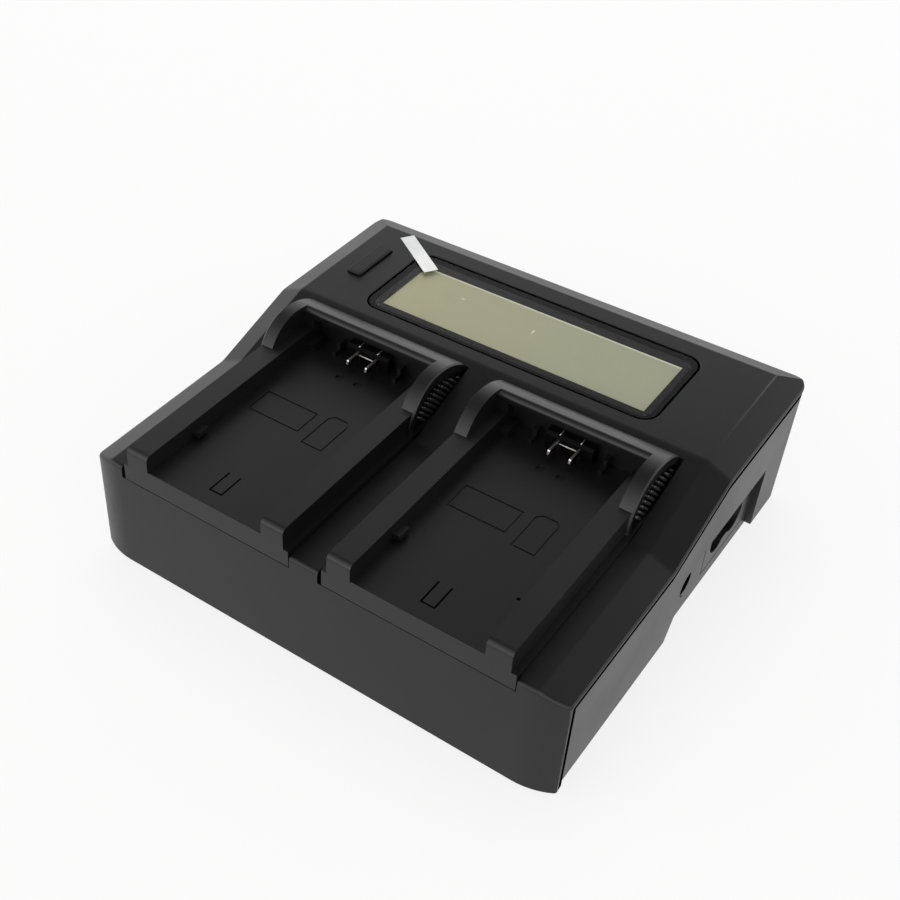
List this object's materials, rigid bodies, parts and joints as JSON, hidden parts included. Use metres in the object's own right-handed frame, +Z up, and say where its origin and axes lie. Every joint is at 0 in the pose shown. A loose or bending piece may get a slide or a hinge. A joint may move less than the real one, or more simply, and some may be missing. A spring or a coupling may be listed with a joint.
{
  "type": "camera battery charger",
  "caption": "Black twin-bay camera battery charger with sliding battery plates, a raised display deck, a mode key and mains and low-voltage sockets on one side.",
  "frame": {"origin": "on the table under the middle of the case", "axes": "+X to the side with the sockets, +Y to the back with the display, +Z up"},
  "size_m": [0.144, 0.1333, 0.049],
  "materials": {
    "case_plastic": "fine moulded grain",
    "plate_plastic": "fine moulded grain",
    "holder_plastic": "smooth",
    "socket_plastic": "smooth",
    "key_plastic": "fine moulded grain",
    "contact_metal": "plated",
    "clear_window": "polished clear",
    "lcd_glass": "unlit polariser film",
    "guide_plastic": "milky",
    "tab_film": "satin film",
    "circuit_board": "solder resist",
    "screw_steel": "zinc plated",
    "ferrite": "sintered",
    "winding_tape": "wrapped tape",
    "capacitor_sleeve": "shrink sleeve",
    "sink_aluminium": "extruded",
    "ribbon_film": "flat film",
    "lead_sleeve": "insulated wire",
    "foot_rubber": "moulded"
  },
  "bodies": {
    "case": {"top_cover": "case_plastic", "base_case": "case_plastic", "bay_connector_left": "holder_plastic", "bay_connector_right": "holder_plastic", "bay_springs_left": "contact_metal", "bay_springs_right": "contact_metal", "bay_leads_left": "lead_sleeve", "bay_leads_right": "lead_sleeve", "display_window": "clear_window", "lcd_frame": "holder_plastic", "lcd_panel": "lcd_glass", "light_guide": "guide_plastic", "display_board": "circuit_board", "film_pull_tab": "tab_film", "switch_body": "holder_plastic", "ac_inlet": "socket_plastic", "ac_pins": "contact_metal", "dc_jack": "socket_plastic", "dc_pin": "contact_metal", "main_board": "circuit_board", "transformer_core": "ferrite", "transformer_winding": "winding_tape", "mains_capacitor": "capacitor_sleeve", "output_capacitors": "capacitor_sleeve", "choke": "ferrite", "heat_sink": "sink_aluminium", "fuse": "holder_plastic", "display_ribbon": "ribbon_film", "case_screws": "screw_steel", "rubber_feet": "foot_rubber"},
    "plate_left": {"battery_plate_left": "plate_plastic", "terminal_block_left": "holder_plastic", "terminal_blades_left": "contact_metal", "plate_pads_left": "contact_metal"},
    "plate_right": {"battery_plate_right": "plate_plastic", "terminal_block_right": "holder_plastic", "terminal_blades_right": "contact_metal", "plate_pads_right": "contact_metal"},
    "button": {"mode_button": "key_plastic", "switch_plunger": "key_plastic"}
  },
  "joints": [
    {"name": "plate_left_slide", "type": "slide", "parent": "case", "child": "plate_left", "axis": [0, -1, 0], "range_m": [0, 0.072]},
    {"name": "plate_right_slide", "type": "slide", "parent": "case", "child": "plate_right", "axis": [0, -1, 0], "range_m": [0, 0.072]},
    {"name": "button_press", "type": "slide", "parent": "case", "child": "button", "axis": [0, 0, -1], "range_m": [0, 0.0004], "stiffness_N_per_m": 600, "springref_m": -0.001}
  ]
}
